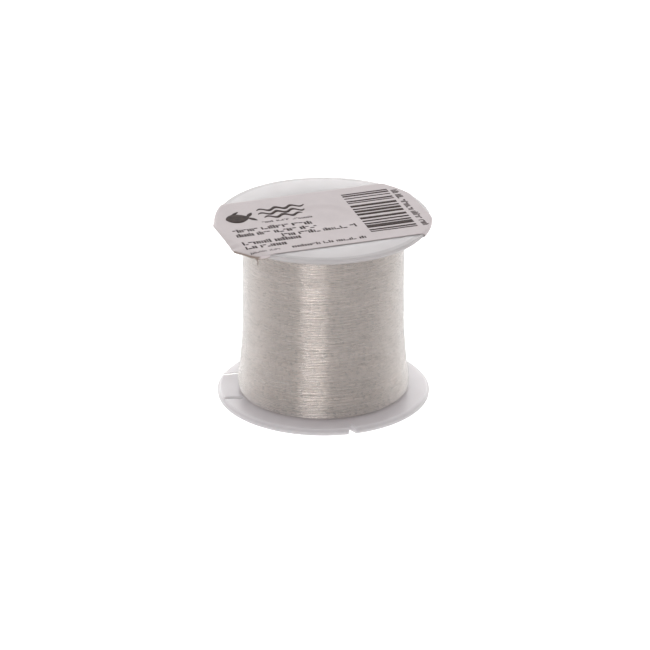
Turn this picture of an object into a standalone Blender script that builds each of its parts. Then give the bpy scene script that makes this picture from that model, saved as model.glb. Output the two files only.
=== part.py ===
"""A spool of clear nylon fishing line.

Two moulded flanges press into the ends of a barrel tube. The line starts at a stop knot
inside the barrel, is wound to the brim between the flanges and leaves across the lower
flange. A paper label is stuck across the upper flange, its corners folded over the rim.
Metres, +Z up; the spool stands on its lower flange with its axis on Z.
"""

import math

import bmesh
import bpy
from mathutils import Matrix, Vector

# Driving dimensions
SPOOL_HEIGHT = 0.0532
FLANGE_RADIUS = 0.030
FLANGE_THICKNESS = 0.0018
RIM_CHAMFER = 0.0009
RIM_ROUND = 0.0004
SPINDLE_BORE_RADIUS = 0.010
BARREL_RADIUS = 0.019
BARREL_WALL = 0.0014
LINE_DIAMETER = 0.0005
PACK_RADIUS = 0.0227
PACK_FOOT_RADIUS = 0.0242
PACK_SHOULDER = 0.0009
# Height above the winding's base, and the share of its spread left there
PACK_FOOT = [
    (0.0, 0.85),
    (0.0015, 1.0),
    (0.0041, 1.0),
    (0.0061, 0.73),
    (0.0084, 0.50),
    (0.0120, 0.30),
    (0.0170, 0.10),
    (0.0230, 0.0),
]
LABEL_LENGTH = 0.0598
LABEL_WIDTH = 0.0382
LABEL_THICKNESS = 0.00015
LABEL_TURN = math.radians(19.2)

# Fits and resolution
GAP = 0.0003
WELD = 0.000001
TURNED_STEPS = 72
OVERLAP = 0.0004
CUT_MARGIN = 0.002

# Flange hub: a spindle sleeve and a spigot that fits the barrel, with ribs between them
SLEEVE_WALL = 0.0012
SLEEVE_LENGTH = 0.012
SPIGOT_RADIUS = BARREL_RADIUS - BARREL_WALL - GAP
SPIGOT_WALL = 0.0013
SPIGOT_LENGTH = 0.007
LEAD_IN = 0.0005
RIB_COUNT = 6
RIB_THICKNESS = 0.001
RIB_HEIGHT = 0.005
RECESS_DEPTH = 0.0004
RECESS_INNER_RADIUS = 0.0122
RECESS_OUTER_RADIUS = 0.0168

# Catches for the line's end, in the lower flange only
NOTCH_AZIMUTH = math.radians(-74.3)
NOTCH_DEPTH = 0.0028
NOTCH_HALF_WIDTH = 0.0011
SLOT_WIDTH = 0.0012
SLOT_LENGTH = 0.0050
SLOT_CENTRE = (-0.0253, -0.0087)

# Line start: a hole in the barrel wall with a stop knot inside it
START_HOLE_RADIUS = 0.0009
START_HEIGHT = 0.0135
START_AZIMUTH = math.radians(150)
START_REACH = 0.0022
KNOT_RADIUS = 0.0009

# Line end: a short strand that leaves the foot of the winding across the rim
TAIL_POINTS = [
    (-0.02395, 0.00695, 0.00252),
    (-0.02520, 0.00680, 0.00243),
    (-0.02680, 0.00660, 0.00240),
    (-0.02830, 0.00645, 0.00240),
    (-0.02940, 0.00642, 0.00243),
    (-0.03020, 0.00645, 0.00248),
]

# Label: three corners wrap round the rim and lie under the flange, the fourth stands out
# over the left front with its tip torn off
LABEL_CENTRE = (-0.0011, -0.0011)
LABEL_CELLS = (44, 28)
WRAP_PATH = [
    (0.02985, 0.0),
    (0.03020, 0.00010),
    (0.03038, 0.00035),
    (0.03038, 0.00132),
    (0.02922, 0.00250),
    (0.02560, 0.00250),
]
STAND_OUT_PATH = [(0.02985, 0.0), (0.03150, 0.00018), (0.03800, 0.00130)]
STAND_OUT_START = math.radians(158)
STAND_OUT_FULL = math.radians(176)
TEAR_DIRECTION = Vector((-0.492, -0.871))
TEAR_DISTANCE = 0.0306


def clear_scene():
    for item in list(bpy.data.objects):
        bpy.data.objects.remove(item, do_unlink=True)


def make_material(name, colour, roughness, transmission=0.0):
    material = bpy.data.materials.new(name)
    material.use_nodes = True
    shader = material.node_tree.nodes["Principled BSDF"]
    shader.inputs["Base Color"].default_value = (*colour, 1.0)
    shader.inputs["Metallic"].default_value = 0.0
    shader.inputs["Roughness"].default_value = roughness
    shader.inputs["Transmission Weight"].default_value = transmission
    return material


def add_object(name, data, material):
    data.materials.append(material)
    item = bpy.data.objects.new(name, data)
    bpy.context.collection.objects.link(item)
    return item


def mesh_from(bm, name):
    mesh = bpy.data.meshes.new(name)
    bmesh.ops.recalc_face_normals(bm, faces=bm.faces)
    bm.to_mesh(mesh)
    bm.free()
    mesh.shade_smooth()
    mesh.set_sharp_from_angle(angle=math.radians(30))
    return mesh


def turned_mesh(name, profile):
    """Spin a closed outline of (radius, height) points once round Z."""
    bm = bmesh.new()
    corners = [bm.verts.new((radius, 0.0, height)) for radius, height in profile]
    sides = [bm.edges.new(pair) for pair in zip(corners, corners[1:] + corners[:1])]
    bmesh.ops.spin(
        bm,
        geom=corners + sides,
        cent=(0, 0, 0),
        axis=(0, 0, 1),
        angle=math.tau,
        steps=TURNED_STEPS,
        use_merge=True,
    )
    bmesh.ops.remove_doubles(bm, verts=bm.verts, dist=WELD)
    return mesh_from(bm, name)


def guide_object(name, bm):
    """A body that only joins or cuts another one."""
    guide = bpy.data.objects.new(name, mesh_from(bm, name))
    bpy.context.collection.objects.link(guide)
    guide.hide_render = True
    guide.display_type = "WIRE"
    return guide


def add_boolean(item, guide, operation):
    boolean = item.modifiers.new(guide.name, "BOOLEAN")
    boolean.operation = operation
    boolean.solver = "EXACT"
    boolean.object = guide


def box_into(bm, size, matrix):
    bmesh.ops.create_cube(bm, size=1.0, matrix=matrix @ Matrix.Diagonal((*size, 1.0)))


def prism_into(bm, outline, bottom, top):
    """Extrude a flat outline of (x, y) points from one height to another."""
    low = [bm.verts.new((x, y, bottom)) for x, y in outline]
    face = bm.faces.new(low)
    extruded = bmesh.ops.extrude_face_region(bm, geom=[face])
    raised = [v for v in extruded["geom"] if isinstance(v, bmesh.types.BMVert)]
    bmesh.ops.translate(bm, verts=raised, vec=(0, 0, top - bottom))


def flange_profile():
    """Outer face at height 0; the sleeve and the spigot rise from the inner face."""
    bore = SPINDLE_BORE_RADIUS
    sleeve = bore + SLEEVE_WALL
    sleeve_top = FLANGE_THICKNESS + SLEEVE_LENGTH
    spigot_top = FLANGE_THICKNESS + SPIGOT_LENGTH
    spigot_inner = SPIGOT_RADIUS - SPIGOT_WALL
    return [
        (bore + LEAD_IN, 0.0),
        (RECESS_INNER_RADIUS, 0.0),
        (RECESS_INNER_RADIUS + RECESS_DEPTH, RECESS_DEPTH),
        (RECESS_OUTER_RADIUS - RECESS_DEPTH, RECESS_DEPTH),
        (RECESS_OUTER_RADIUS, 0.0),
        (FLANGE_RADIUS - RIM_ROUND, 0.0),
        (FLANGE_RADIUS, RIM_ROUND),
        (FLANGE_RADIUS, FLANGE_THICKNESS - RIM_CHAMFER),
        (FLANGE_RADIUS - RIM_CHAMFER, FLANGE_THICKNESS),
        (SPIGOT_RADIUS, FLANGE_THICKNESS),
        (SPIGOT_RADIUS, spigot_top - LEAD_IN),
        (SPIGOT_RADIUS - LEAD_IN, spigot_top),
        (spigot_inner, spigot_top),
        (spigot_inner, FLANGE_THICKNESS),
        (sleeve, FLANGE_THICKNESS),
        (sleeve, sleeve_top),
        (bore, sleeve_top),
        (bore, LEAD_IN),
    ]


def hub_ribs():
    """Radial webs that tie the spindle sleeve to the spigot."""
    start = SPINDLE_BORE_RADIUS + SLEEVE_WALL - OVERLAP
    end = SPIGOT_RADIUS - SPIGOT_WALL + OVERLAP
    size = (end - start, RIB_THICKNESS, RIB_HEIGHT + OVERLAP)
    height = FLANGE_THICKNESS + (RIB_HEIGHT - OVERLAP) / 2
    bm = bmesh.new()
    for number in range(RIB_COUNT):
        turn = Matrix.Rotation(math.tau * number / RIB_COUNT, 4, "Z")
        place = Matrix.Translation(((start + end) / 2, 0, height))
        box_into(bm, size, turn @ place)
    return guide_object("hub_ribs", bm)


def notch_cutter():
    """A V in the rim, widening outwards past it at the same angle."""
    outward = Vector((math.cos(NOTCH_AZIMUTH), math.sin(NOTCH_AZIMUTH)))
    across = Vector((-outward.y, outward.x))
    past = 1 + CUT_MARGIN / NOTCH_DEPTH
    apex = outward * (FLANGE_RADIUS - NOTCH_DEPTH)
    mouth = apex + outward * NOTCH_DEPTH * past
    half = across * NOTCH_HALF_WIDTH * past
    bm = bmesh.new()
    prism_into(bm, [apex, mouth + half, mouth - half], -CUT_MARGIN, FLANGE_THICKNESS + CUT_MARGIN)
    return guide_object("notch_cutter", bm)


def slot_cutter():
    bm = bmesh.new()
    place = Matrix.Translation((*SLOT_CENTRE, FLANGE_THICKNESS / 2))
    box_into(bm, (SLOT_LENGTH, SLOT_WIDTH, FLANGE_THICKNESS + CUT_MARGIN), place)
    return guide_object("slot_cutter", bm)


def make_flanges(plastic, ribs):
    lower = add_object("lower_flange", turned_mesh("lower_flange", flange_profile()), plastic)
    add_boolean(lower, ribs, "UNION")
    add_boolean(lower, notch_cutter(), "DIFFERENCE")
    add_boolean(lower, slot_cutter(), "DIFFERENCE")

    upper_mesh = turned_mesh("upper_flange", flange_profile())
    upper = add_object("upper_flange", upper_mesh, plastic)
    turned_over = Matrix.Rotation(math.pi, 4, "X")
    upper.matrix_world = Matrix.Translation((0, 0, SPOOL_HEIGHT)) @ turned_over
    upper_ribs = ribs.copy()
    upper_ribs.name = "upper_hub_ribs"
    upper_ribs.matrix_world = upper.matrix_world
    bpy.context.collection.objects.link(upper_ribs)
    add_boolean(upper, upper_ribs, "UNION")


def make_barrel(plastic):
    bottom = FLANGE_THICKNESS + GAP
    top = SPOOL_HEIGHT - FLANGE_THICKNESS - GAP
    inner = BARREL_RADIUS - BARREL_WALL
    outline = [(inner, bottom), (BARREL_RADIUS, bottom), (BARREL_RADIUS, top), (inner, top)]
    barrel = add_object("barrel_tube", turned_mesh("barrel_tube", outline), plastic)
    bm = bmesh.new()
    place = Matrix.Translation((BARREL_RADIUS, 0, START_HEIGHT))
    bmesh.ops.create_cone(
        bm,
        cap_ends=True,
        segments=16,
        radius1=START_HOLE_RADIUS,
        radius2=START_HOLE_RADIUS,
        depth=BARREL_WALL + 2 * CUT_MARGIN,
        matrix=Matrix.Rotation(START_AZIMUTH, 4, "Z") @ place @ Matrix.Rotation(math.pi / 2, 4, "Y"),
    )
    add_boolean(barrel, guide_object("start_hole_cutter", bm), "DIFFERENCE")


def winding_profile():
    """The wound line's outline, spreading at its foot where the turns pile on the flange."""
    bottom = FLANGE_THICKNESS + GAP
    top = SPOOL_HEIGHT - FLANGE_THICKNESS - GAP
    inner = BARREL_RADIUS + GAP
    spread = PACK_FOOT_RADIUS - PACK_RADIUS
    foot = [(PACK_RADIUS + share * spread, bottom + rise) for rise, share in PACK_FOOT]
    shoulder = [(PACK_RADIUS, top - PACK_SHOULDER), (PACK_RADIUS - PACK_SHOULDER / 3, top)]
    return [(inner, bottom), *foot, *shoulder, (inner, top)]


def tube_through(name, points, material):
    """A strand of line with capped ends through the given points."""
    curve = bpy.data.curves.new(name, "CURVE")
    curve.dimensions = "3D"
    curve.bevel_depth = LINE_DIAMETER / 2
    curve.bevel_resolution = 2
    curve.use_fill_caps = True
    spline = curve.splines.new("POLY")
    spline.points.add(len(points) - 1)
    for point, place in zip(spline.points, points):
        point.co = (*place, 1.0)
    return add_object(name, curve, material)


def make_line(nylon):
    add_object("wound_line", turned_mesh("wound_line", winding_profile()), nylon)
    tube_through("line_tail", TAIL_POINTS, nylon)

    outward = Vector((math.cos(START_AZIMUTH), math.sin(START_AZIMUTH), 0))
    lift = Vector((0, 0, START_HEIGHT))
    knot_radius = BARREL_RADIUS - START_REACH - KNOT_RADIUS - GAP
    tube_through(
        "line_start",
        [outward * (BARREL_RADIUS - share * START_REACH) + lift for share in (0, 0.5, 1)],
        nylon,
    )
    bm = bmesh.new()
    bmesh.ops.create_uvsphere(bm, u_segments=12, v_segments=8, radius=KNOT_RADIUS)
    knot = add_object("start_knot", mesh_from(bm, "start_knot"), nylon)
    knot.location = outward * knot_radius + lift


def along(path, travel):
    """The (radius, drop) reached after travelling along a path of such points."""
    for (radius, drop), (next_radius, next_drop) in zip(path, path[1:]):
        step = math.hypot(next_radius - radius, next_drop - drop)
        if travel <= step:
            share = travel / step
            return (
                radius + share * (next_radius - radius),
                drop + share * (next_drop - drop),
            )
        travel -= step
    return path[-1]


def stand_out_share(flat):
    """1 where the paper stands out past the rim, 0 where it wraps round it."""
    if flat.x > 0:
        return 0.0
    if flat.y < 0:
        return 1.0
    azimuth = math.atan2(flat.y, flat.x)
    share = (azimuth - STAND_OUT_START) / (STAND_OUT_FULL - STAND_OUT_START)
    return min(max(share, 0.0), 1.0)


def draped(flat):
    """Where a point of the flat label lies once its ends are bent over the rim."""
    travel = flat.length - WRAP_PATH[0][0]
    if travel <= 0:
        return Vector((flat.x, flat.y, 0.0))
    wrapped = Vector(along(WRAP_PATH, travel))
    standing = Vector(along(STAND_OUT_PATH, travel))
    radius, drop = wrapped.lerp(standing, stand_out_share(flat))
    out = flat.normalized() * radius
    return Vector((out.x, out.y, -drop))


def make_label(paper):
    bm = bmesh.new()
    bmesh.ops.create_grid(bm, x_segments=LABEL_CELLS[0], y_segments=LABEL_CELLS[1], size=0.5)
    centre = Vector((*LABEL_CENTRE, 0))
    for vertex in bm.verts:
        vertex.co = Vector((vertex.co.x * LABEL_LENGTH, vertex.co.y * LABEL_WIDTH, 0)) + centre
    tear = TEAR_DIRECTION.normalized().to_3d()
    bmesh.ops.bisect_plane(
        bm,
        geom=bm.verts[:] + bm.edges[:] + bm.faces[:],
        plane_co=tear * TEAR_DISTANCE,
        plane_no=tear,
        clear_outer=True,
    )
    turn = Matrix.Rotation(LABEL_TURN, 3, "Z")
    base = Vector((0, 0, SPOOL_HEIGHT + GAP))
    for vertex in bm.verts:
        vertex.co = base + turn @ draped(vertex.co.to_2d())
    label = add_object("paper_label", mesh_from(bm, "paper_label"), paper)
    solidify = label.modifiers.new("thickness", "SOLIDIFY")
    solidify.thickness = LABEL_THICKNESS
    solidify.offset = 1.0


def main():
    clear_scene()
    flange_plastic = make_material("milky_polypropylene", (0.80, 0.80, 0.82), 0.38, 0.15)
    barrel_plastic = make_material("barrel_plastic", (0.78, 0.78, 0.79), 0.45)
    nylon = make_material("clear_nylon_line", (0.78, 0.76, 0.73), 0.22, 0.35)
    paper = make_material("label_paper", (0.74, 0.71, 0.72), 0.62)
    make_flanges(flange_plastic, hub_ribs())
    make_barrel(barrel_plastic)
    make_line(nylon)
    make_label(paper)


main()
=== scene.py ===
"""The looks of a spool of clear fishing line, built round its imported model.

The two flange mouldings, the winding, both ends of the line and the stuck-on label are
finished pieces that stand for the CAD nodes. The barrel tube keeps its CAD shape.
Metres, +Z up. The spool stands on its lower flange with its axis on Z.
"""

import math

import bmesh
import bpy
import numpy as np
from mathutils import Matrix, Vector, noise


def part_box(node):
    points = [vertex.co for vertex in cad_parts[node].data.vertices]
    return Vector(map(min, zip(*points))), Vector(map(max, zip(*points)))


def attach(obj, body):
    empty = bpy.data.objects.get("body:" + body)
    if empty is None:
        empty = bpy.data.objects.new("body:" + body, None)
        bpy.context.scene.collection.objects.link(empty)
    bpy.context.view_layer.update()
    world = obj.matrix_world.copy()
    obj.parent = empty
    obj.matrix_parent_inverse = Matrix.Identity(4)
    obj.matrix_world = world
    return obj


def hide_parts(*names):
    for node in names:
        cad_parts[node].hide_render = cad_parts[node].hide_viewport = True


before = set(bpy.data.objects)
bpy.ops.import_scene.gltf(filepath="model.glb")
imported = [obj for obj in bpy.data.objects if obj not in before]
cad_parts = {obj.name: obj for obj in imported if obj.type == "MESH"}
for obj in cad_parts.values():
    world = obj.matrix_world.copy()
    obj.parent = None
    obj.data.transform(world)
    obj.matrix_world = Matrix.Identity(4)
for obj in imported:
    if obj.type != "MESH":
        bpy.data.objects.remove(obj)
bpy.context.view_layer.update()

MM = 0.001

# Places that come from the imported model
flange_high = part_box("lower_flange")[1]
FLANGE_RADIUS = flange_high.x
HUB_TOP = flange_high.z
SPOOL_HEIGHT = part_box("upper_flange")[1].z
BARREL_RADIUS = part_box("barrel_tube")[1].x
wound_low, wound_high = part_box("wound_line")
PACK_BOTTOM = wound_low.z
PACK_TOP = wound_high.z
PACK_FOOT_RADIUS = wound_high.x

# Flange mouldings
FLANGE_THICKNESS = 1.8 * MM
RIM_CHAMFER = 0.9 * MM
RIM_ROUND = 0.4 * MM
RIM_DRAFT = 0.03 * MM
BORE_RADIUS = 10.0 * MM
SLEEVE_WALL = 1.2 * MM
SPIGOT_RADIUS = 17.3 * MM
SPIGOT_WALL = 1.3 * MM
SPIGOT_TOP = FLANGE_THICKNESS + 7.0 * MM
LEAD_IN = 0.5 * MM
RECESS = (12.2 * MM, 16.8 * MM)
RECESS_DEPTH = 0.4 * MM
RIB_COUNT = 6
RIB_THICKNESS = 1.0 * MM
RIB_HEIGHT = 5.0 * MM
NOTCH_AZIMUTH = math.radians(-74.3)
NOTCH_DEPTH = 2.8 * MM
NOTCH_HALF_WIDTH = 1.1 * MM
SLOT_CENTRE = (-25.3 * MM, -8.7 * MM)
SLOT_SIZE = (5.0 * MM, 1.2 * MM)
SLOT_LEAD_IN = 0.3 * MM
SLOT_END_STEPS = 6
CUT_MARGIN = 2 * MM
FINE_ROUND = 0.12 * MM
OVERLAP = 0.4 * MM
# Marks of the mould on the outer face: radius of each, and of the ring they lie on
PIN_MARK = (1.5 * MM, 24.5 * MM)
GATE_MARK = (0.7 * MM, 20.5 * MM)
MARK_DEPTH = 0.12 * MM
TURNED_STEPS = 160
SHARP_EDGE = math.radians(32)

# Line and winding
LINE_RADIUS = 0.25 * MM
PACK_RADIUS = 22.7 * MM
PACK_SHOULDER = 0.9 * MM
# Height above the winding's base, and the share of its spread left there
PACK_FOOT_RISE = np.array([0.0, 1.5, 4.1, 6.1, 8.4, 12.0, 17.0, 23.0]) * MM
PACK_FOOT_SHARE = np.array([0.85, 1.0, 1.0, 0.73, 0.50, 0.30, 0.10, 0.0])
OUTER_PITCH = 0.51 * MM
UNDER_PITCH = 0.36 * MM
UNDER_STEPS = 96
UNDER_SIDES = 6
STEPS_PER_TURN = 160
STRAND_SIDES = 6
LAYER_STEP = 0.60 * MM
CORE_DEPTH = 0.74 * MM
CORE_RINGS = 40
CORE_MARGIN = 0.1 * MM
BARREL_GAP = 0.3 * MM
# Strands are drawn this much thinner than the line, so that turns don't cut each other
STRAND_SHARE = 0.97
LAY_ANGLE = 0.7
SWAY_STEP = 3.5
SLOW_SWAY_STEP = 60.0
BOW_STEP = 2.6

# Ends of the line
END_SIDES = 10
START_AZIMUTH = math.radians(150)
START_HEIGHT = 13.5 * MM
KNOT_PLACE = 15.6 * MM
KNOT_SCALE = 0.27 * MM
KNOT_OPENING = 0.35
TAIL_POINTS = [
    (-23.60, 7.00, 2.52),
    (-25.20, 6.80, 2.38),
    (-26.80, 6.60, 2.28),
    (-28.30, 6.47, 2.24),
    (-29.40, 6.42, 2.28),
    (-30.15, 6.45, 2.36),
]

# Label
LABEL_CENTRE = (-1.1 * MM, -1.1 * MM)
LABEL_SIZE = (59.8 * MM, 38.2 * MM)
LABEL_CELLS = (170, 110)
PAPER_THICKNESS = 0.12 * MM
PAPER_LIFT = 0.04 * MM
INK_THICKNESS = 0.02 * MM
LABEL_TURN = math.radians(19.2)
NORMAL_REACH = 0.15 * MM
# The print below is laid out in mm, on label axes that run from the spool's own axis
INK_STEP = 0.6
ROW_WEIGHT = 0.5
ROW_HEIGHT = 1.75
TICK_KINDS = ["tick"] * 5 + ["tall", "tall", "low dash", "high dash"]
TICK_HEIGHTS = {"tick": 1.0, "tall": 1.3, "low dash": 0.34, "high dash": 0.34}
# (radius, drop) in mm along the paper, from where it leaves the flange's flat face
WRAP_PATH = [
    (29.55, 0.0),
    (29.95, 0.06),
    (30.20, 0.20),
    (30.30, 0.48),
    (30.22, 0.95),
    (30.02, 1.20),
    (29.20, 1.98),
    (28.70, 1.90),
    (25.60, 1.88),
]
STAND_OUT_PATH = [(29.55, 0.0), (30.4, 0.04), (31.5, 0.22), (38.0, 1.34)]
# Azimuths between which the label stops wrapping the rim and starts to stand out past it
STAND_OUT_START = math.radians(158)
STAND_OUT_FULL = math.radians(176)
TEAR_START = Vector((-31.0, -14.2)) * MM
TEAR_END = Vector((-26.4, -20.2)) * MM
TEAR_DIRECTION = Vector((TEAR_END.y - TEAR_START.y, TEAR_START.x - TEAR_END.x)).normalized()
TEAR_DISTANCE = TEAR_DIRECTION.dot(TEAR_START)
TORN_WIDTH = 1.0 * MM
CRUMPLE_REACH = 5.5 * MM
DISH_DEPTH = 0.20 * MM
DISH_SLOPE = 4 * MM
BORE_EDGE = 0.3 * MM
# In mm, so that the paper's ripples stay off the flange
RIPPLE_LIFT = 0.03
# The flap left at the torn corner, in mm: its ends along the label's edge, and its hang
FLAP_START = -26.6
FLAP_END = -20.6
FLAP_EDGE = -20.15
FLAP_HANG = 0.95
FLAP_STEPS = 26
FLAP_ROWS = 4
TEAR_STEPS = 18
FIBRE_SIDES = 6

# Colours of the finishes, palest first where there are two
UPPER_FLANGE_TONES = (0.52, 0.495, 0.50), (0.49, 0.465, 0.47)
LOWER_FLANGE_TONES = (0.53, 0.51, 0.525), (0.50, 0.48, 0.495)
BARREL_TONES = (0.74, 0.74, 0.75), (0.70, 0.70, 0.71)
CLEAR_NYLON_TONES = (0.99, 0.975, 0.96), (0.96, 0.945, 0.93)
DEEP_NYLON_TONES = (0.71, 0.625, 0.585), (0.67, 0.59, 0.55)
# Painted shade: the share of the deep tone kept in the darker band painted at the flange rims
RIM_PAINTED_SHADE = 0.82
PAPER_PALE = (0.60, 0.535, 0.54)
PAPER_DEEP = (0.555, 0.495, 0.50)
PAPER_FIBRE = (0.49, 0.435, 0.44)
PAPER_TORN = (0.22, 0.15, 0.11)
TORN_PALE = (0.34, 0.27, 0.23)
TORN_DEEP = (0.16, 0.11, 0.09)
INK_DARK = (0.022, 0.013, 0.012)
INK_WORN = (0.085, 0.058, 0.052)
FLOOR_TONES = (0.44, 0.44, 0.44), (0.46, 0.46, 0.46)

# Studio
CAMERA_ELEVATION = math.radians(23.861)
CAMERA_DISTANCE = 1.2724
CAMERA_LENS = 250.45
CAMERA_SHIFT = (0.00254, -0.0311)
FRONT_BOX_AZIMUTH = math.radians(-104)
FRONT_BOX_ELEVATION = math.radians(18)
FRONT_BOX_DISTANCE = 0.9
FRONT_BOX_SIZE = (0.50, 0.24)
FRONT_BOX_POWER = 2.55
TENT_FRONT = 0.38
TENT_BACK = 2.85
TENT_SEEN = 1.05
FLOOR_GLOW = 0.7
FLOOR_HALF = 3.0
FLOOR_DROP = 0.02 * MM

random = np.random.default_rng(90)


# ---------------------------------------------------------------- shader building


# The colour sockets of a Mix node, which share their names with its other kinds
MIX_FACTOR, MIX_FIRST, MIX_SECOND, MIX_COLOUR = 0, 6, 7, 2


class Shade:
    """A shader socket that takes part in Python expressions."""

    def __init__(self, finish, socket):
        self.finish = finish
        self.socket = socket

    def combine(self, operation, first, second):
        return self.finish.node("ShaderNodeMath", {"operation": operation}, {0: first, 1: second})

    def __add__(self, other):
        return self.combine("ADD", self, other)

    def __radd__(self, other):
        return self.combine("ADD", other, self)

    def __sub__(self, other):
        return self.combine("SUBTRACT", self, other)

    def __rsub__(self, other):
        return self.combine("SUBTRACT", other, self)

    def __mul__(self, other):
        return self.combine("MULTIPLY", self, other)

    def __rmul__(self, other):
        return self.combine("MULTIPLY", other, self)


class Finish:
    """A node tree being built for one material, or for the studio's surroundings."""

    def __init__(self, tree):
        self.tree = tree
        tree.nodes.clear()

    def node(self, kind, settings=None, sockets=None, output=0):
        node = self.tree.nodes.new(kind)
        for name, value in (settings or {}).items():
            setattr(node, name, value)
        for name, value in (sockets or {}).items():
            if isinstance(value, Shade):
                self.tree.links.new(value.socket, node.inputs[name])
            else:
                node.inputs[name].default_value = value
        return None if output is None else Shade(self, node.outputs[output])

    def position(self):
        return self.node("ShaderNodeTexCoord", output="Object")

    def stretched(self, vector, scale):
        return self.node("ShaderNodeMapping", {}, {"Vector": vector, "Scale": scale})

    def cloud(self, vector, scale, detail=3.0, roughness=0.5):
        sockets = {"Vector": vector, "Scale": scale, "Detail": detail, "Roughness": roughness}
        return self.node("ShaderNodeTexNoise", {}, sockets, "Fac")

    def blend(self, mask, first, second):
        """A colour that goes from the first to the second as the mask goes from 0 to 1."""
        ends = [end if isinstance(end, Shade) else (*end, 1.0) for end in (first, second)]
        sockets = {MIX_FACTOR: mask, MIX_FIRST: ends[0], MIX_SECOND: ends[1]}
        return self.node("ShaderNodeMix", {"data_type": "RGBA"}, sockets, MIX_COLOUR)

    def ranged(self, value, low, high, new_low=0.0, new_high=1.0):
        sockets = {
            "Value": value,
            "From Min": low,
            "From Max": high,
            "To Min": new_low,
            "To Max": new_high,
        }
        return self.node("ShaderNodeMapRange", {"clamp": True}, sockets)

    def bump(self, height, strength, distance):
        sockets = {"Height": height, "Strength": strength, "Distance": distance}
        return self.node("ShaderNodeBump", {}, sockets, "Normal")

    def surface(self, sockets):
        shader = self.node("ShaderNodeBsdfPrincipled", {}, sockets, "BSDF")
        self.node("ShaderNodeOutputMaterial", {}, {"Surface": shader}, None)


def new_finish(name):
    material = bpy.data.materials.new(name)
    material.use_nodes = True
    return material, Finish(material.node_tree)


def milky_plastic(name, tones, roughness, depth=3 * MM, painted_shade_band=0.8 * MM):
    """Natural polypropylene: slightly see-through, clouded by its flow in the mould.

    A narrow band at the rim is painted darker, as painted shade on the rim's edge.
    """
    material, finish = new_finish(name)
    pale, deep = tones
    place = finish.position()
    flat_place = finish.node(
        "ShaderNodeVectorMath", {"operation": "MULTIPLY"}, {0: place, 1: (1.0, 1.0, 0.0)}, "Vector"
    )
    radius = finish.node("ShaderNodeVectorMath", {"operation": "LENGTH"}, {0: flat_place}, "Value")
    # Painted shade: the base colour is darkened in a band just inside the rim
    painted_shade_start = FLANGE_RADIUS - painted_shade_band
    rim_painted_shade = finish.ranged(radius, painted_shade_start, painted_shade_start + 0.5 * MM)
    flow = finish.cloud(place, 90.0, 4.0, 0.55)
    grain = finish.cloud(place, 2600.0, 2.0, 0.6)
    sheen = finish.ranged(finish.cloud(place, 260.0, 3.0), 0.3, 0.7, roughness - 0.05, roughness + 0.06)
    finish.surface(
        {
            "Base Color": finish.blend(
                rim_painted_shade,
                finish.blend(finish.ranged(flow, 0.3, 0.7), pale, deep),
                tuple(channel * RIM_PAINTED_SHADE for channel in deep),
            ),
            "Roughness": sheen,
            "Normal": finish.bump(grain * 0.6 + flow * 0.4, 0.12, 0.04 * MM),
            "IOR": 1.49,
            "Subsurface Weight": 0.9,
            "Subsurface Radius": (1.0, 0.95, 0.92),
            "Subsurface Scale": depth,
        }
    )
    return material


def nylon_finish(name, tones, roughness, clearness=0.0, silver=0.0):
    """Clear monofilament as it looks in bulk: warm grey, glossy, a little uneven."""
    material, finish = new_finish(name)
    place = finish.position()
    drift = finish.cloud(finish.stretched(place, (1.0, 1.0, 5.0)), 60.0, 3.0, 0.6)
    flecks = finish.cloud(finish.stretched(place, (1.0, 1.0, 3.0)), 700.0, 2.0, 0.6)
    finish.surface(
        {
            "Base Color": finish.blend(finish.ranged(drift, 0.35, 0.65), *tones),
            "Roughness": finish.ranged(flecks, 0.3, 0.7, roughness - 0.05, roughness + 0.08),
            "Normal": finish.bump(flecks, 0.15, 0.03 * MM),
            "IOR": 1.53,
            "Transmission Weight": clearness,
            "Metallic": silver,
        }
    )
    return material


def label_stock(name):
    """Uncoated label paper: short fibres, faint mottle, browned where it is torn."""
    material, finish = new_finish(name)
    place = finish.position()
    fibres = finish.cloud(finish.stretched(place, (1.0, 2.2, 1.0)), 2400.0, 3.0, 0.65)
    mottle = finish.cloud(place, 160.0, 4.0, 0.6)
    turned_tear = Matrix.Rotation(LABEL_TURN, 2) @ TEAR_DIRECTION
    reach = finish.node(
        "ShaderNodeVectorMath",
        {"operation": "DOT_PRODUCT"},
        {0: place, 1: (turned_tear.x, turned_tear.y, 0.0)},
        "Value",
    )
    torn_from = TEAR_DISTANCE - TORN_WIDTH
    ragged = (mottle - 0.5) * (1.6 * MM)
    torn = finish.ranged(reach + ragged, torn_from, torn_from + 0.7 * MM)
    tone = finish.blend(finish.ranged(mottle, 0.3, 0.7), PAPER_PALE, PAPER_DEEP)
    tone = finish.blend(finish.ranged(fibres, 0.35, 0.75, 0.0, 0.35), tone, PAPER_FIBRE)
    finish.surface(
        {
            "Base Color": finish.blend(torn * 0.8, tone, PAPER_TORN),
            "Roughness": finish.ranged(fibres, 0.3, 0.7, 0.52, 0.68),
            "Normal": finish.bump(fibres * 0.6 + mottle * 0.4, 0.22, 0.05 * MM),
            "IOR": 1.45,
        }
    )
    return material


def torn_fibres(name):
    """Frayed paper fibres, browned and furry."""
    material, finish = new_finish(name)
    fuzz = finish.cloud(finish.position(), 3000.0, 3.0, 0.7)
    finish.surface(
        {
            "Base Color": finish.blend(finish.ranged(fuzz, 0.35, 0.65), TORN_PALE, TORN_DEEP),
            "Roughness": finish.ranged(fuzz, 0.3, 0.7, 0.75, 0.95),
            "Normal": finish.bump(fuzz, 0.5, 0.06 * MM),
        }
    )
    return material


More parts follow.
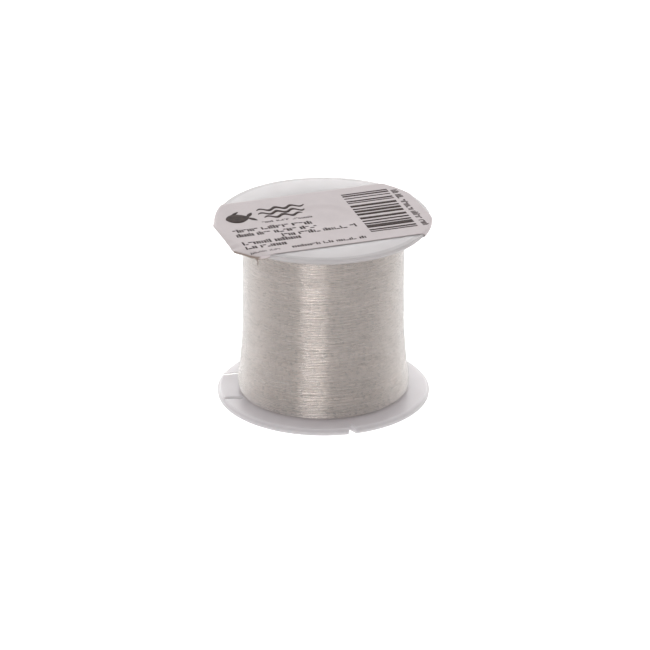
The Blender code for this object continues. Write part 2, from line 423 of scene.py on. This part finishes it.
def printing_ink(name):
    """Thermal-print black: dark brown, worn thin in places."""
    material, finish = new_finish(name)
    place = finish.position()
    wear = finish.cloud(place, 900.0, 3.0, 0.7)
    finish.surface(
        {
            "Base Color": finish.blend(finish.ranged(wear, 0.35, 0.72), INK_DARK, INK_WORN),
            "Roughness": finish.ranged(wear, 0.3, 0.7, 0.7, 0.85),
            "Specular IOR Level": 0.25,
        }
    )
    return material


# ---------------------------------------------------------------- mesh building


def add_piece(name, mesh, material, replaces=()):
    mesh.materials.clear()
    mesh.materials.append(material)
    piece = bpy.data.objects.new(name, mesh)
    bpy.context.scene.collection.objects.link(piece)
    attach(piece, "root")
    if replaces:
        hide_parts(*replaces)
    return piece


def mesh_of(name, points, faces, sharp=SHARP_EDGE):
    mesh = bpy.data.meshes.new(name)
    mesh.from_pydata([tuple(p) for p in points], [], faces)
    mesh.validate()
    mesh.shade_smooth()
    if sharp:
        mesh.set_sharp_from_angle(angle=sharp)
    return mesh


def softened(outline):
    """Round the corners of a closed outline of (radius, height, corner radius)."""
    points = []
    for here, (radius, height, corner) in enumerate(outline):
        middle = Vector((radius, height))
        if not corner:
            points.append(middle)
            continue
        before = Vector(outline[here - 1][:2])
        after = Vector(outline[(here + 1) % len(outline)][:2])
        start = middle + (before - middle).normalized() * corner
        end = middle + (after - middle).normalized() * corner
        for share in (0.0, 0.33, 0.67, 1.0):
            points.append(start.lerp(middle, share).lerp(middle.lerp(end, share), share))
    return points


def turned_mesh(name, outline, steps=TURNED_STEPS):
    """Spin a closed outline of (radius, height) once round Z."""
    count = len(outline)
    angles = np.arange(steps) * math.tau / steps
    radii = np.array([p[0] for p in outline])
    heights = np.array([p[1] for p in outline])
    points = np.empty((steps, count, 3))
    points[..., 0] = np.cos(angles)[:, None] * radii
    points[..., 1] = np.sin(angles)[:, None] * radii
    points[..., 2] = heights
    faces = []
    for step in range(steps):
        this, following = step * count, (step + 1) % steps * count
        for spot in range(count):
            beside = (spot + 1) % count
            faces.append((this + spot, following + spot, following + beside, this + beside))
    return mesh_of(name, points.reshape(-1, 3), faces)


def cutter(name, bm):
    mesh = bpy.data.meshes.new(name)
    bmesh.ops.recalc_face_normals(bm, faces=bm.faces)
    bm.to_mesh(mesh)
    bm.free()
    item = bpy.data.objects.new(name, mesh)
    bpy.context.scene.collection.objects.link(item)
    return item


def joined_with(mesh, name, steps):
    """A mesh after its boolean steps of (operation, helper), with the helpers removed."""
    item = bpy.data.objects.new(name, mesh)
    bpy.context.scene.collection.objects.link(item)
    for operation, helper in steps:
        boolean = item.modifiers.new(helper.name, "BOOLEAN")
        boolean.operation = operation
        boolean.solver = "EXACT"
        boolean.object = helper
    graph = bpy.context.evaluated_depsgraph_get()
    graph.update()
    made = bpy.data.meshes.new_from_object(item.evaluated_get(graph))
    bpy.data.objects.remove(item)
    for _, helper in steps:
        bpy.data.objects.remove(helper)
    made.name = name
    made.shade_smooth()
    made.set_sharp_from_angle(angle=SHARP_EDGE)
    return made


def flange_outline():
    sleeve = BORE_RADIUS + SLEEVE_WALL
    spigot_inner = SPIGOT_RADIUS - SPIGOT_WALL
    inner, outer = RECESS
    fine = FINE_ROUND
    return [
        (BORE_RADIUS + LEAD_IN, 0.0, fine),
        (inner, 0.0, fine),
        (inner + RECESS_DEPTH, RECESS_DEPTH, fine),
        (outer - RECESS_DEPTH, RECESS_DEPTH, fine),
        (outer, 0.0, fine),
        (FLANGE_RADIUS - RIM_DRAFT, 0.0, RIM_ROUND),
        (FLANGE_RADIUS, FLANGE_THICKNESS - RIM_CHAMFER, fine),
        (FLANGE_RADIUS - RIM_CHAMFER, FLANGE_THICKNESS, fine),
        (SPIGOT_RADIUS, FLANGE_THICKNESS, fine),
        (SPIGOT_RADIUS, SPIGOT_TOP - LEAD_IN, fine),
        (SPIGOT_RADIUS - LEAD_IN, SPIGOT_TOP, fine),
        (spigot_inner, SPIGOT_TOP, fine),
        (spigot_inner, FLANGE_THICKNESS, fine),
        (sleeve, FLANGE_THICKNESS, fine),
        (sleeve, HUB_TOP, fine),
        (BORE_RADIUS, HUB_TOP, fine),
        (BORE_RADIUS, LEAD_IN, fine),
    ]


def rib_helper():
    start = BORE_RADIUS + SLEEVE_WALL - OVERLAP
    end = SPIGOT_RADIUS - SPIGOT_WALL + OVERLAP
    height = RIB_HEIGHT + OVERLAP
    bm = bmesh.new()
    for number in range(RIB_COUNT):
        turn = Matrix.Rotation(math.tau * number / RIB_COUNT, 4, "Z")
        middle = Vector(((start + end) / 2, 0, FLANGE_THICKNESS + RIB_HEIGHT - height / 2))
        size = Matrix.Diagonal((end - start, RIB_THICKNESS, height, 1.0))
        bmesh.ops.create_cube(bm, size=1.0, matrix=turn @ Matrix.Translation(middle) @ size)
    return cutter("ribs", bm)


def notch_helper():
    outward = Vector((math.cos(NOTCH_AZIMUTH), math.sin(NOTCH_AZIMUTH)))
    across = Vector((-outward.y, outward.x))
    # The cutter runs on to twice the notch's depth, past the rim
    past = 2.0
    apex = outward * (FLANGE_RADIUS - NOTCH_DEPTH)
    mouth = apex + outward * NOTCH_DEPTH * past
    half = across * NOTCH_HALF_WIDTH * past
    tip = across * FINE_ROUND
    outline = [apex + tip, apex - tip, mouth - half, mouth + half]
    bm = bmesh.new()
    low = [bm.verts.new((p.x, p.y, -CUT_MARGIN)) for p in outline]
    high = [bm.verts.new((p.x, p.y, FLANGE_THICKNESS + CUT_MARGIN)) for p in outline]
    bm.faces.new(low)
    bm.faces.new(high)
    for here in range(len(outline)):
        bm.faces.new((low[here - 1], low[here], high[here], high[here - 1]))
    return cutter("notch", bm)


def slot_helper():
    """The slot for the line's end: round ends, and a wide soft lead-in on the inner side."""
    rings = []
    bm = bmesh.new()
    levels = [
        (-CUT_MARGIN, 0.0),
        (FLANGE_THICKNESS - SLOT_LEAD_IN, 0.0),
        (FLANGE_THICKNESS + SLOT_LEAD_IN, 2 * SLOT_LEAD_IN),
    ]
    for height, growth in levels:
        half_width = SLOT_SIZE[1] / 2 + growth
        ring = []
        for side in (1, -1):
            for step in range(SLOT_END_STEPS + 1):
                angle = side * (math.pi / 2 - math.pi * step / SLOT_END_STEPS)
                x = side * (SLOT_SIZE[0] - SLOT_SIZE[1]) / 2
                x += half_width * math.cos(angle) * side
                y = half_width * math.sin(angle)
                ring.append(bm.verts.new((SLOT_CENTRE[0] + x, SLOT_CENTRE[1] + y, height)))
        rings.append(ring)
    bm.faces.new(rings[0])
    bm.faces.new(rings[-1])
    for low, high in zip(rings, rings[1:]):
        for here in range(len(low)):
            bm.faces.new((low[here - 1], low[here], high[here], high[here - 1]))
    return cutter("slot", bm)


def mould_mark_helper():
    """Shallow round marks that the mould's three pins and its gate leave on the outer face."""
    bm = bmesh.new()
    marks = [(math.tau * (number + 0.25) / 3, *PIN_MARK) for number in range(3)]
    marks.append((math.tau * 0.42, *GATE_MARK))
    for azimuth, radius, ring in marks:
        place = Vector((ring * math.cos(azimuth), ring * math.sin(azimuth), 0.0))
        bmesh.ops.create_cone(
            bm,
            cap_ends=True,
            segments=28,
            radius1=radius,
            radius2=radius * 0.96,
            depth=MARK_DEPTH * 2,
            matrix=Matrix.Translation(place),
        )
    return cutter("mould_marks", bm)


def make_flanges(lower_plastic, upper_plastic):
    outline = softened(flange_outline())
    steps = [("UNION", rib_helper()), ("DIFFERENCE", mould_mark_helper())]
    steps += [("DIFFERENCE", notch_helper()), ("DIFFERENCE", slot_helper())]
    lower = joined_with(turned_mesh("lower", outline), "lower_flange_moulding", steps)
    add_piece("lower_flange_moulding", lower, lower_plastic, ["lower_flange"])

    steps = [("UNION", rib_helper())]
    upper = joined_with(turned_mesh("upper", outline), "upper_flange_moulding", steps)
    turned_over = Matrix.Rotation(math.pi, 4, "X")
    upper.transform(Matrix.Translation((0, 0, SPOOL_HEIGHT)) @ turned_over)
    add_piece("upper_flange_moulding", upper, upper_plastic, ["upper_flange"])


def tube(name, centres, radius, sides):
    """A round strand with capped ends along a line of points."""
    centres = np.asarray(centres, float)
    tangents = np.gradient(centres, axis=0)
    tangents /= np.linalg.norm(tangents, axis=1)[:, None]
    side = np.cross(tangents[0], (0.0, 0.0, 1.0))
    if np.linalg.norm(side) < 0.1:
        side = np.cross(tangents[0], (1.0, 0.0, 0.0))
    sides_at = np.empty_like(centres)
    for here, tangent in enumerate(tangents):
        side = side - tangent * (side @ tangent)
        side /= np.linalg.norm(side)
        sides_at[here] = side
    tops_at = np.cross(sides_at, tangents)
    around = np.arange(sides) * math.tau / sides
    points = centres[:, None] + radius * (
        np.cos(around)[None, :, None] * sides_at[:, None]
        + np.sin(around)[None, :, None] * tops_at[:, None]
    )
    count = len(centres)
    ring = np.arange(count - 1)[:, None] * sides
    spot = np.arange(sides)[None, :]
    beside = (spot + 1) % sides
    quads = np.stack([ring + spot, ring + sides + spot, ring + sides + beside, ring + beside], -1)
    faces = quads.reshape(-1, 4).tolist()
    faces.append(list(range(sides)))
    faces.append(list(range((count - 1) * sides, count * sides))[::-1])
    return mesh_of(name, points.reshape(-1, 3), faces, sharp=None)


def drifting(count, step, size):
    """Smooth seeded wandering: one value a sample, with about this many samples a bend."""
    knots = random.normal(0.0, size, int(count / step) + 4)
    places = np.arange(count) / step
    whole = places.astype(int)
    share = places - whole
    a, b, c, d = (knots[whole + shift] for shift in range(4))
    return (
        a * (1 - share) ** 3
        + b * (3 * share**3 - 6 * share**2 + 4)
        + c * (-3 * share**3 + 3 * share**2 + 3 * share + 1)
        + d * share**3
    ) / 6


def pack_radius(height):
    """The winding's outer radius at a height, spreading at its foot."""
    spread = PACK_FOOT_RADIUS - PACK_RADIUS
    foot = np.interp(height - PACK_BOTTOM, PACK_FOOT_RISE, PACK_FOOT_SHARE) * spread
    near_top = np.clip((height - (PACK_TOP - PACK_SHOULDER)) / PACK_SHOULDER, 0.0, 1.0)
    return PACK_RADIUS + foot - near_top * PACK_SHOULDER / 3


def wound_layer(name, depth, pitch, hand, sway, bow, steps, sides):
    """One traverse of the line from flange to flange, a depth below the winding's outside."""
    low = PACK_BOTTOM + LINE_RADIUS
    turns = (PACK_TOP - LINE_RADIUS - low) / pitch
    count = int(turns * steps)
    travel = np.arange(count) / steps
    height = low + pitch * travel
    height += drifting(count, SWAY_STEP, sway) + drifting(count, SLOW_SWAY_STEP, sway * 0.5)
    height = np.clip(height, low, PACK_TOP - LINE_RADIUS)
    radius = pack_radius(height) - depth
    radius += drifting(count, BOW_STEP, bow)
    angle = hand * (travel * math.tau + LAY_ANGLE)
    centres = np.stack([radius * np.cos(angle), radius * np.sin(angle), height], -1)
    return tube(name, centres, LINE_RADIUS * STRAND_SHARE, sides)


def make_winding(nylon, core):
    heights = np.linspace(PACK_BOTTOM + CORE_MARGIN, PACK_TOP - CORE_MARGIN, CORE_RINGS)
    inner = BARREL_RADIUS + BARREL_GAP
    outline = [(inner, heights[0])]
    outline += [(pack_radius(height) - CORE_DEPTH, height) for height in heights]
    outline += [(inner, heights[-1])]
    add_piece("winding_core", turned_mesh("winding_core", outline), core)
    under = wound_layer(
        "winding_under_layer",
        LINE_RADIUS + LAYER_STEP,
        UNDER_PITCH,
        -1,
        sway=0.03 * MM,
        bow=0.01 * MM,
        steps=UNDER_STEPS,
        sides=UNDER_SIDES,
    )
    add_piece("winding_under_layer", under, core)
    outer = wound_layer(
        "winding_outer_layer",
        LINE_RADIUS,
        OUTER_PITCH,
        1,
        sway=0.010 * MM,
        bow=0.058 * MM,
        steps=STEPS_PER_TURN,
        sides=STRAND_SIDES,
    )
    add_piece("winding_outer_layer", outer, nylon, ["wound_line"])


def smooth_line(points, samples=12):
    """Points along one smooth curve through the given ones."""
    points = np.array(points, float)
    padded = np.vstack([2 * points[0] - points[1], points, 2 * points[-1] - points[-2]])
    made = []
    for here in range(1, len(padded) - 2):
        a, b, c, d = padded[here - 1 : here + 3]
        for share in np.arange(samples) / samples:
            made.append(
                0.5
                * (
                    2 * b
                    + (c - a) * share
                    + (2 * a - 5 * b + 4 * c - d) * share**2
                    + (3 * b - a - 3 * c + d) * share**3
                )
            )
    made.append(points[-1])
    return np.array(made)


def make_line_ends(nylon):
    tail = tube("loose_end", smooth_line(np.array(TAIL_POINTS) * MM), LINE_RADIUS, END_SIDES)
    add_piece("loose_end", tail, nylon, ["line_tail"])

    # An overhand knot: the trefoil's open form, its axis on the line's own direction
    turns = np.linspace(KNOT_OPENING, math.tau - KNOT_OPENING, 90) + math.pi / 2
    knot = KNOT_SCALE * np.stack(
        [
            -1.25 * np.sin(3 * turns),
            np.sin(turns) + 2 * np.sin(2 * turns),
            np.cos(turns) - 2 * np.cos(2 * turns),
        ],
        -1,
    )
    stem = np.array([(reach * MM, 0, 0) for reach in (3.4, 2.6, 1.6, 1.0)])
    path = smooth_line(np.vstack([stem, knot[::6]]), 6)
    turn = np.array(Matrix.Rotation(START_AZIMUTH, 3, "Z"))
    centres = (path + np.array([KNOT_PLACE, 0, 0])) @ turn.T + np.array([0, 0, START_HEIGHT])
    start = tube("line_start_and_knot", centres, LINE_RADIUS, END_SIDES)
    add_piece("line_start_and_knot", start, nylon, ["line_start", "start_knot"])


# ---------------------------------------------------------------- label


def along(path, travel):
    """The (radius, drop) reached after travelling along a path of such points."""
    for (radius, drop), (next_radius, next_drop) in zip(path, path[1:]):
        step = math.hypot(next_radius - radius, next_drop - drop)
        if travel <= step:
            share = travel / step
            return Vector(
                (radius + share * (next_radius - radius), drop + share * (next_drop - drop))
            )
        travel -= step
    return Vector(path[-1])


def eased(share):
    share = min(max(share, 0.0), 1.0)
    return share * share * (3 - 2 * share)


def stand_out_share(x, y):
    """1 where the paper stands out past the rim, 0 where it wraps round it."""
    if x > 0:
        return 0.0
    if y < 0:
        return 1.0
    return eased((math.atan2(y, x) - STAND_OUT_START) / (STAND_OUT_FULL - STAND_OUT_START))


def draped(x, y):
    """Where a point of the flat label lies on the spool, before it is turned."""
    distance = math.hypot(x, y)
    ripple = noise.noise(Vector((x, y, 0.0)) * 110) * 0.030
    ripple += noise.noise(Vector((x, y, 0.01)) * 320) * 0.010
    corner = TEAR_DISTANCE - (x * TEAR_DIRECTION.x + y * TEAR_DIRECTION.y)
    crumple = min(max(1 - corner / CRUMPLE_REACH, 0.0), 1.0) ** 1.5
    ripple += crumple * noise.noise(Vector((x, y, 0.02)) * 420) * 0.34
    travel = distance / MM - WRAP_PATH[0][0]
    if travel <= 0:
        inside = eased((BORE_RADIUS - BORE_EDGE - distance) / DISH_SLOPE)
        return Vector((x, y, (ripple + RIPPLE_LIFT) * MM - inside * DISH_DEPTH))
    wrapped = along(WRAP_PATH, travel)
    standing = along(STAND_OUT_PATH, travel)
    share = stand_out_share(x, y)
    radius, drop = wrapped.lerp(standing, share)
    azimuth = math.atan2(y, x)
    pleat = noise.noise(Vector((math.cos(azimuth), math.sin(azimuth), 0.3)) * 14)
    raised = min(travel / 1.5, 1.0) * pleat * 0.10
    radius += raised * (1 - share)
    drop -= raised * share + ripple + RIPPLE_LIFT
    out = Vector((x, y)) * (radius * MM / distance)
    return Vector((out.x, out.y, -drop * MM))


def on_label(x, y, lift):
    """A point of the flat label in the spool's own frame, lifted off the paper's back."""
    here = draped(x, y)
    if lift:
        reach = NORMAL_REACH
        normal = (draped(x + reach, y) - here).cross(draped(x, y + reach) - here)
        here = here + normal.normalized() * lift
    turned = Matrix.Rotation(LABEL_TURN, 3, "Z") @ here
    return turned + Vector((0, 0, SPOOL_HEIGHT + PAPER_LIFT))


def thicken(piece, thickness, offset):
    solidify = piece.modifiers.new("thickness", "SOLIDIFY")
    solidify.thickness = thickness
    solidify.offset = offset


def make_label_sheet(paper):
    bm = bmesh.new()
    bmesh.ops.create_grid(bm, x_segments=LABEL_CELLS[0], y_segments=LABEL_CELLS[1], size=0.5)
    for vertex in bm.verts:
        vertex.co.x = vertex.co.x * LABEL_SIZE[0] + LABEL_CENTRE[0]
        vertex.co.y = vertex.co.y * LABEL_SIZE[1] + LABEL_CENTRE[1]
    tear = TEAR_DIRECTION.to_3d()
    bmesh.ops.bisect_plane(
        bm,
        geom=bm.verts[:] + bm.edges[:] + bm.faces[:],
        plane_co=tear * TEAR_DISTANCE,
        plane_no=tear,
        clear_outer=True,
    )
    on_the_tear = 0.001 * MM
    for vertex in bm.verts:
        if abs(vertex.co.dot(tear) - TEAR_DISTANCE) < on_the_tear:
            ragged = noise.noise(vertex.co * 700) * 0.55 + noise.noise(vertex.co * 2500) * 0.30
            vertex.co += tear * (ragged - 0.05) * MM
    for vertex in bm.verts:
        vertex.co = on_label(vertex.co.x, vertex.co.y, 0.0)
    bmesh.ops.recalc_face_normals(bm, faces=bm.faces)
    mesh = bpy.data.meshes.new("label_sheet")
    bm.to_mesh(mesh)
    bm.free()
    mesh.shade_smooth()
    if mesh.polygons[len(mesh.polygons) // 2].normal.z < 0:
        mesh.flip_normals()
    sheet = add_piece("label_sheet", mesh, paper, ["paper_label"])
    thicken(sheet, PAPER_THICKNESS, 1.0)


class Print:
    """Inked shapes on the flat label, in millimetres from the spool's axis."""

    def __init__(self):
        self.points = []
        self.faces = []

    def band(self, first, second, across=1):
        """Ink between two lines of the same number of (x, y) points."""
        start = len(self.points)
        for (x1, y1), (x2, y2) in zip(first, second):
            for step in range(across + 1):
                share = step / across
                x = (x1 + (x2 - x1) * share) * MM
                y = (y1 + (y2 - y1) * share) * MM
                self.points.append(on_label(x, y, PAPER_THICKNESS + INK_THICKNESS))
        row = across + 1
        for here in range(len(first) - 1):
            for step in range(across):
                corner = start + here * row + step
                self.faces.append((corner, corner + row, corner + row + 1, corner + 1))

    def block(self, x, y, width, height):
        """An inked rectangle with its lowest corner at x, y."""
        along_steps = max(1, round(width / INK_STEP))
        across_steps = max(1, round(height / INK_STEP))
        places = [x + width * step / along_steps for step in range(along_steps + 1)]
        low = [(place, y) for place in places]
        high = [(place, y + height) for place in places]
        self.band(low, high, across_steps)

    def leaf(self, base, tip, width, steps=12):
        """A pointed oval from base to tip."""
        base, tip = Vector(base), Vector(tip)
        across = Vector((base.y - tip.y, tip.x - base.x)).normalized()
        first, second = [], []
        for step in range(steps + 1):
            share = step / steps
            half = across * width / 2 * math.sin(math.pi * share) ** 0.8
            middle = base.lerp(tip, share)
            first.append(middle + half)
            second.append(middle - half)
        self.band(first, second, 4)


def tick_row(ink, start, end, base, height=ROW_HEIGHT, weight=ROW_WEIGHT, upright=True):
    """A row of print as plain ticks in word-long runs, with no letters in it."""
    place = start
    while place < end - 0.5:
        word_end = min(place + random.uniform(3.2, 8.5), end)
        while place < word_end - 0.25:
            kind = random.choice(TICK_KINDS)
            width = weight * random.uniform(0.8, 1.4) * (1.7 if "dash" in kind else 1.0)
            tall = height * TICK_HEIGHTS[kind]
            rise = height * (0.7 if kind == "high dash" else 0.0)
            if upright:
                ink.block(place, base + rise, width, tall)
            else:
                ink.block(base + rise, place, tall, width)
            place += width + random.uniform(0.14, 0.28)
        place += 0.8


def fish_emblem(ink):
    """A plain generic fish: an oval body that narrows to a small forked tail."""
    nose, tail = -26.4, -19.6
    middle = 6.6
    first, second = [], []
    for step in range(17):
        share = step / 16
        x = nose + (tail - nose) * share
        half = 0.25 + 2.9 * math.sin(math.pi * share**0.85) ** 0.8
        first.append((x, middle + half))
        second.append((x, middle - half))
    ink.band(first, second, 6)
    ink.leaf((-20.2, middle), (-18.0, middle + 3.0), 1.3)
    ink.leaf((-20.2, middle), (-18.0, middle - 3.0), 1.3)
    ink.leaf((-24.2, middle + 2.4), (-21.4, middle + 4.6), 1.0)


def water_strokes(ink):
    """Three wavy strokes of falling length beside the fish."""
    for row, (start, end) in enumerate([(-16.2, -2.2), (-16.6, -3.0), (-15.6, -4.4)]):
        level = 10.4 - row * 2.7
        first, second = [], []
        steps = 44
        for step in range(steps + 1):
            share = step / steps
            x = start + (end - start) * share
            rise = 0.75 * math.sin(share * math.tau * (end - start) / 4.6)
            taper = math.sin(math.pi * min(max(share, 0.02), 0.98)) ** 0.35
            first.append((x, level + rise + 0.72 * taper))
            second.append((x, level + rise - 0.72 * taper))
        ink.band(first, second, 2)


def stripe_code(ink):
    """Plain stripes of seeded widths that code nothing."""
    place, last, length = -14.6, 13.6, 13.7
    while place < last - 0.6:
        width = random.choice([0.6, 0.9, 1.4, 2.1])
        left = 9.0 + 0.9 * (place + 15) / 28
        ink.block(left, place, length, min(width, last - place))
        place += width + random.choice([0.5, 0.7, 1.0, 1.4])


def make_label_print(ink_finish):
    ink = Print()
    fish_emblem(ink)
    water_strokes(ink)
    tick_row(ink, -17.3, -2.4, 1.3, height=1.0, weight=0.26)
    tick_row(ink, -27.2, -4.2, -3.0)
    tick_row(ink, -27.2, -4.0, -6.2)
    tick_row(ink, -15.0, 7.0, -9.4)
    tick_row(ink, -27.3, -9.5, -12.0)
    tick_row(ink, -27.4, -14.8, -14.9)
    tick_row(ink, -27.0, -18.4, -17.8, height=0.9, weight=0.20)
    tick_row(ink, -15.0, 7.0, -17.8, height=1.25, weight=0.42)
    stripe_code(ink)
    tick_row(ink, -14.6, 12.8, 24.3, height=1.5, weight=0.34, upright=False)
    mesh = mesh_of("label_print", ink.points, ink.faces)
    prints = add_piece("label_print", mesh, ink_finish)
    thicken(prints, INK_THICKNESS * 0.8, -1.0)


def torn_flap_edges():
    """The torn flap's upper edge, under the label's own edge, and its ragged hem."""
    edge, hem = [], []
    for step in range(FLAP_STEPS + 1):
        share = step / FLAP_STEPS
        x = FLAP_START + (FLAP_END - FLAP_START) * share
        top = on_label(x * MM, FLAP_EDGE * MM, 0.03 * MM)
        ragged = noise.noise(Vector((step * 0.43, 0.0, 2.0))) * 0.16
        hang = FLAP_HANG * math.sin(math.pi * (0.12 + 0.88 * share)) ** 0.7 + ragged * (1 - share)
        crumple = noise.noise(Vector((step * 0.31, 4.0, 0.0))) * 0.35
        edge.append(top)
        hem.append(top + Vector((0.05 + crumple * 0.3, 0.25 + crumple, -max(hang, 0.05))) * MM)
    return edge, hem


def frayed_tear():
    """Points along the tear, wandering in and out of it."""
    rim = []
    for step in range(TEAR_STEPS + 1):
        frayed = noise.noise(Vector((step * 0.9, 7.0, 0.0))) * 0.5
        spot = TEAR_START.lerp(TEAR_END, step / TEAR_STEPS) + TEAR_DIRECTION * frayed * MM
        rim.append(on_label(spot.x, spot.y, 0.04 * MM) + Vector((0, 0, frayed * 0.4)) * MM)
    return rim


def make_torn_corner(paper, torn):
    """What the tear left: a crumpled flap under the label's edge, and loose fibres."""
    edge, hem = torn_flap_edges()
    points, faces = [], []
    row = FLAP_ROWS + 1
    for top, bottom in zip(edge, hem):
        points += [top.lerp(bottom, step / FLAP_ROWS) for step in range(row)]
    for step in range(FLAP_STEPS):
        for down in range(FLAP_ROWS):
            corner = step * row + down
            faces.append((corner, corner + 1, corner + row + 1, corner + row))
    mesh = mesh_of("label_torn_flap", points, faces)
    flap = add_piece("label_torn_flap", mesh, paper)
    thicken(flap, PAPER_THICKNESS * 0.8, 0.0)

    root = on_label(TEAR_END.x + 0.3 * MM, TEAR_END.y + 0.2 * MM, 0.0)
    loose = [(0, -0.3, 0.1), (0.02, -0.5, -0.5), (0.14, -0.55, -1.2), (0.10, -0.5, -1.95)]
    loose = [root + Vector(point) * MM for point in loose]
    bm = bmesh.new()
    for line, samples, radius in [(frayed_tear(), 3, 0.15), (hem, 3, 0.10), (loose, 12, 0.12)]:
        bm.from_mesh(tube("fibre", smooth_line(line, samples), radius * MM, FIBRE_SIDES))
    mesh = bpy.data.meshes.new("label_torn_fibres")
    bm.to_mesh(mesh)
    bm.free()
    mesh.shade_smooth()
    add_piece("label_torn_fibres", mesh, torn)


# ---------------------------------------------------------------- studio


def make_camera():
    data = bpy.data.cameras.new("camera")
    data.lens = CAMERA_LENS
    data.sensor_width = 36.0
    data.shift_x, data.shift_y = CAMERA_SHIFT
    data.clip_start = 0.05
    data.clip_end = 20.0
    camera = bpy.data.objects.new("camera", data)
    back = Vector((0, -math.cos(CAMERA_ELEVATION), math.sin(CAMERA_ELEVATION)))
    camera.location = Vector((0, 0, SPOOL_HEIGHT / 2)) + back * CAMERA_DISTANCE
    camera.rotation_euler = (math.pi / 2 - CAMERA_ELEVATION, 0, 0)
    bpy.context.scene.collection.objects.link(camera)
    bpy.context.scene.camera = camera


def make_front_box():
    """A soft box that faces the spool from a little left of the camera."""
    data = bpy.data.lights.new("front_box", "AREA")
    data.shape = "RECTANGLE"
    data.size, data.size_y = FRONT_BOX_SIZE
    data.energy = FRONT_BOX_POWER
    light = bpy.data.objects.new("front_box", data)
    turn, rise = FRONT_BOX_AZIMUTH, FRONT_BOX_ELEVATION
    away = Vector(
        (math.cos(turn) * math.cos(rise), math.sin(turn) * math.cos(rise), math.sin(rise))
    )
    light.location = away * FRONT_BOX_DISTANCE + Vector((0, 0, SPOOL_HEIGHT / 2))
    light.rotation_euler = (-away).to_track_quat("-Z", "Y").to_euler()
    bpy.context.scene.collection.objects.link(light)


def make_floor():
    mesh = bpy.data.meshes.new("floor")
    half = FLOOR_HALF
    corners = [(-half, -half, 0), (half, -half, 0), (half, half, 0), (-half, half, 0)]
    mesh.from_pydata(corners, [], [(0, 1, 2, 3)])
    floor = bpy.data.objects.new("floor", mesh)
    floor.location.z = -FLOOR_DROP
    bpy.context.scene.collection.objects.link(floor)
    material, finish = new_finish("white_floor")
    mottle = finish.cloud(finish.position(), 8.0)
    seen = finish.node("ShaderNodeLightPath", output="Is Camera Ray")
    finish.surface(
        {
            "Base Color": finish.blend(mottle, *FLOOR_TONES),
            "Roughness": 0.8,
            "Emission Color": finish.blend(seen, (FLOOR_GLOW,) * 3, (1, 1, 1)),
            "Emission Strength": 1.0,
        }
    )
    mesh.materials.append(material)


def make_tent():
    """A white tent, dimmer on the camera's side and brighter behind and below."""
    world = bpy.data.worlds.new("white_tent")
    bpy.context.scene.world = world
    world.use_nodes = True
    finish = Finish(world.node_tree)
    direction = finish.node("ShaderNodeTexCoord", output="Generated")
    across = finish.node("ShaderNodeSeparateXYZ", {}, {"Vector": direction}, "Y")
    upward = finish.node("ShaderNodeSeparateXYZ", {}, {"Vector": direction}, "Z")
    strength = finish.ranged(across - upward, -0.75, 0.75, TENT_FRONT, TENT_BACK)
    seen = finish.node("ShaderNodeLightPath", output="Is Camera Ray")
    strength = strength * (1 - seen) + seen * TENT_SEEN
    tent = finish.node(
        "ShaderNodeBackground", {}, {"Color": (1, 1, 1, 1), "Strength": strength}, "Background"
    )
    finish.node("ShaderNodeOutputWorld", {}, {"Surface": tent}, None)


def main():
    bpy.context.scene.view_settings.view_transform = "Standard"
    # The upper flange gets a wider band of painted rim shade
    upper_plastic = milky_plastic(
        "milky_upper_flange", UPPER_FLANGE_TONES, 0.34, painted_shade_band=1.9 * MM
    )
    lower_plastic = milky_plastic("milky_lower_flange", LOWER_FLANGE_TONES, 0.34, depth=7 * MM)
    barrel = milky_plastic("milky_barrel", BARREL_TONES, 0.42)
    clear_nylon = nylon_finish("clear_monofilament", CLEAR_NYLON_TONES, 0.12, clearness=0.9)
    deep_nylon = nylon_finish("monofilament_in_depth", DEEP_NYLON_TONES, 0.28, silver=0.6)
    paper = label_stock("label_paper")

    make_flanges(lower_plastic, upper_plastic)
    barrel_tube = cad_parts["barrel_tube"]
    barrel_tube.data.materials.clear()
    barrel_tube.data.materials.append(barrel)
    make_winding(clear_nylon, deep_nylon)
    make_line_ends(clear_nylon)
    make_label_sheet(paper)
    make_label_print(printing_ink("print_black"))
    make_torn_corner(paper, torn_fibres("torn_paper_fibres"))
    make_camera()
    make_front_box()
    make_tent()
    make_floor()


main()
